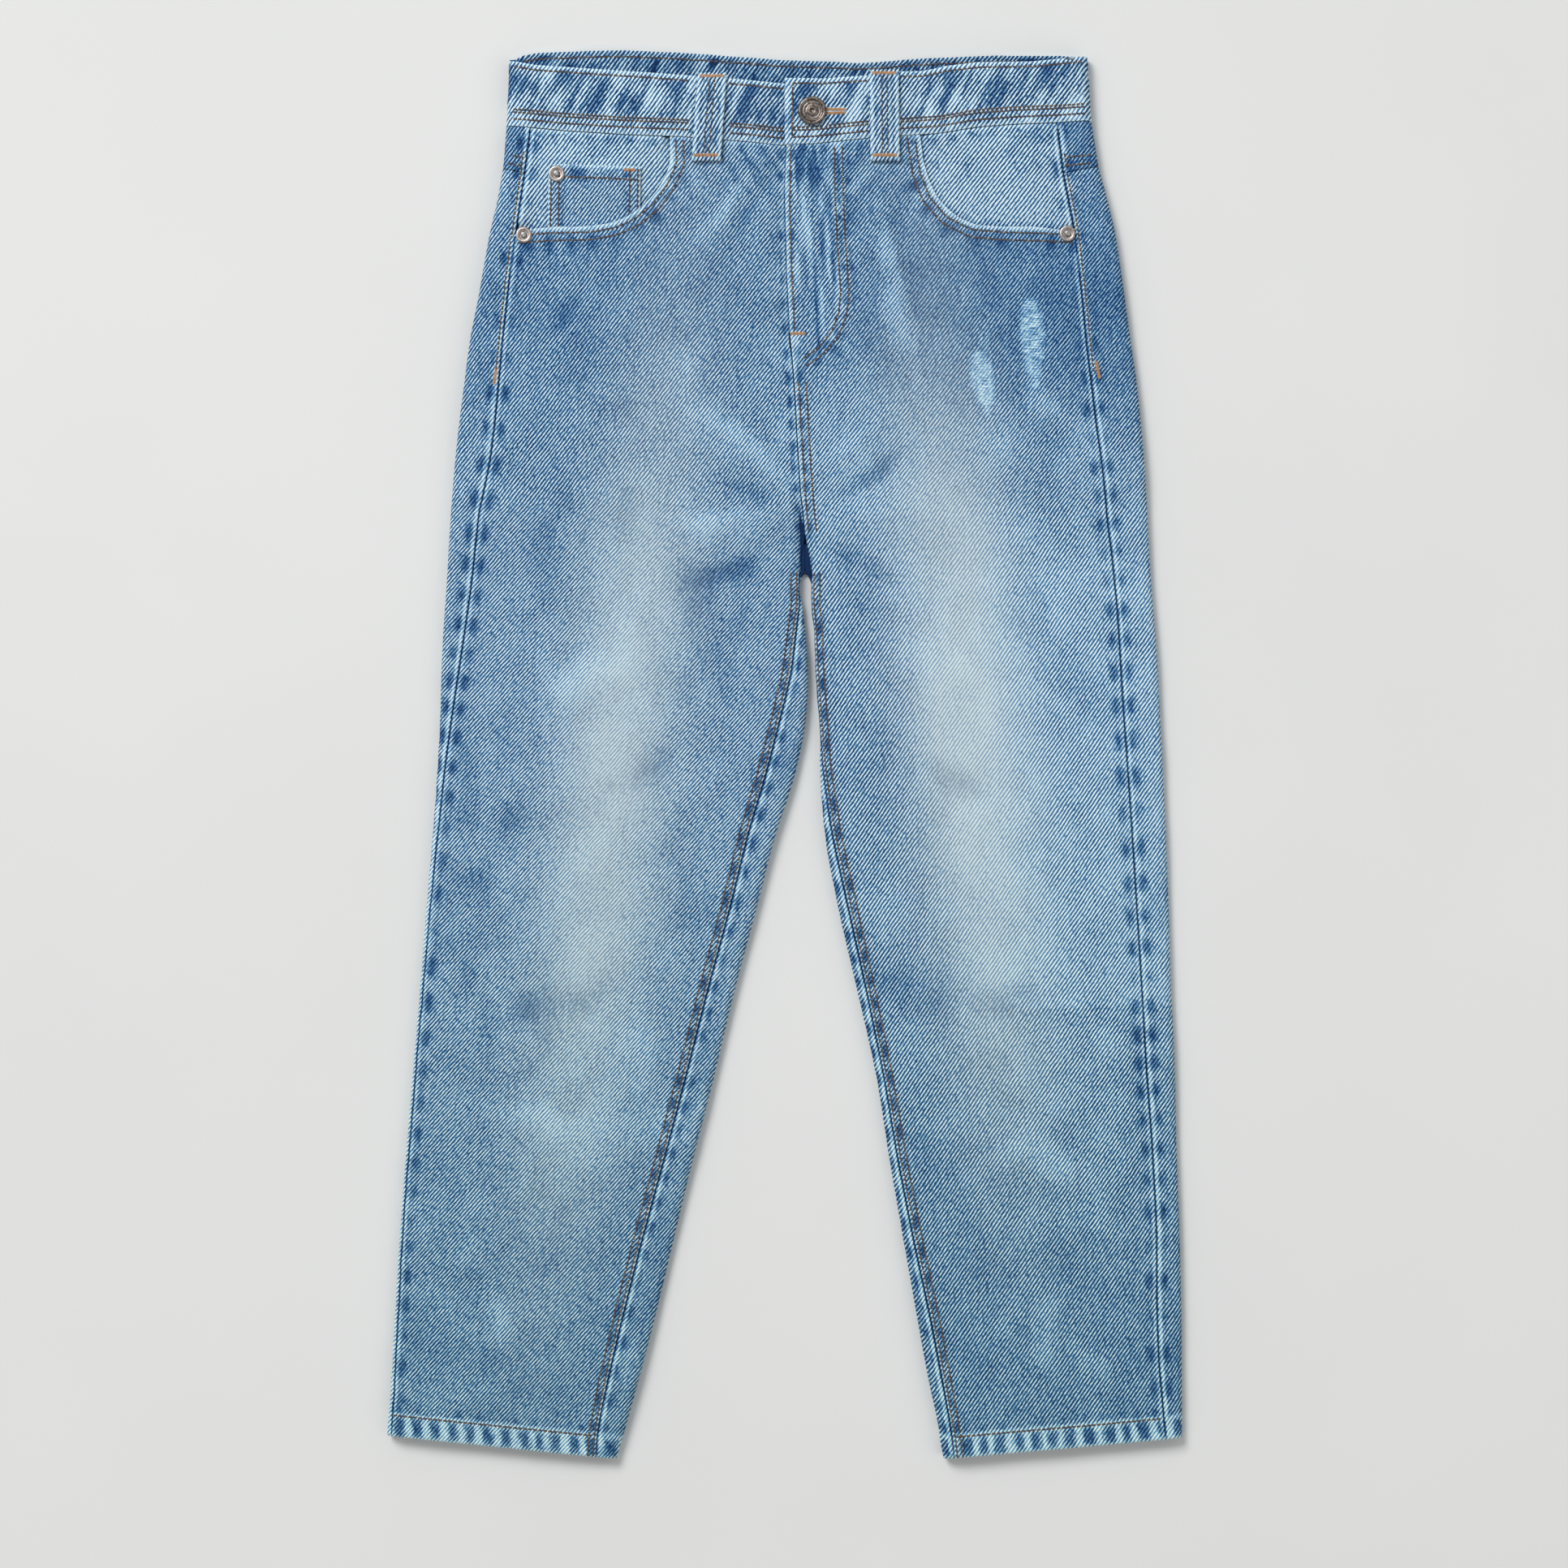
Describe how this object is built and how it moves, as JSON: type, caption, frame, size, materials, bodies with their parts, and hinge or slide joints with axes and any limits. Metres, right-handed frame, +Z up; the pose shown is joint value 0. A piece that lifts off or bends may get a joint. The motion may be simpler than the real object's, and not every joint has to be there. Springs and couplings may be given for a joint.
{
  "type": "mom jeans laid flat",
  "caption": "Washed blue denim mom jeans lying flat on their back, high waist and tapered legs, closed with a metal button and fly, with scooped pockets and belt loops.",
  "frame": {"origin": "middle of the bounding box in X and Y, at the surface that the jeans lie on", "axes": "+Y from hems towards the waist, +X towards the wearer's left side, +Z up out of the front"},
  "size_m": [0.4754, 0.8424, 0.0205],
  "materials": {
    "denim_front_right": "washed mid blue denim",
    "denim_front_left": "washed mid blue denim",
    "denim_back_right": "washed mid blue denim",
    "denim_back_left": "washed mid blue denim",
    "denim_yoke_right": "washed mid blue denim",
    "denim_yoke_left": "washed mid blue denim",
    "denim_band_right": "washed mid blue denim",
    "denim_band_left": "washed mid blue denim",
    "denim_facing_right": "light blue denim",
    "denim_facing_left": "light blue denim",
    "bag_right": "plain cotton",
    "bag_left": "plain cotton",
    "denim_pocket_right": "washed mid blue denim",
    "denim_pocket_left": "washed mid blue denim",
    "denim_fly_shield": "washed mid blue denim",
    "zip_metal": "plain closed zip",
    "denim_coin": "washed mid blue denim",
    "denim_loop_front_right": "washed mid blue denim",
    "denim_loop_front_left": "washed mid blue denim",
    "denim_loop_back_right": "washed mid blue denim",
    "denim_loop_back_left": "washed mid blue denim",
    "denim_loop_centre": "washed mid blue denim",
    "button_metal": "antique, low sheen",
    "copper_right": "worn copper plate",
    "copper_left": "worn copper plate",
    "copper_coin": "worn copper plate"
  },
  "bodies": {
    "root": {"front_right": "denim_front_right", "front_left": "denim_front_left", "back_right": "denim_back_right", "back_left": "denim_back_left", "yoke_right": "denim_yoke_right", "yoke_left": "denim_yoke_left", "waistband_right": "denim_band_right", "waistband_left": "denim_band_left", "pocket_facing_right": "denim_facing_right", "pocket_facing_left": "denim_facing_left", "pocket_bag_right": "bag_right", "pocket_bag_left": "bag_left", "back_pocket_right": "denim_pocket_right", "back_pocket_left": "denim_pocket_left", "fly_shield": "denim_fly_shield", "zip": "zip_metal", "coin_pocket": "denim_coin", "belt_loop_front_right": "denim_loop_front_right", "belt_loop_front_left": "denim_loop_front_left", "belt_loop_back_right": "denim_loop_back_right", "belt_loop_back_left": "denim_loop_back_left", "belt_loop_centre": "denim_loop_centre", "button": "button_metal", "rivet_right": "copper_right", "rivet_left": "copper_left", "rivet_coin": "copper_coin"}
  },
  "joints": []
}
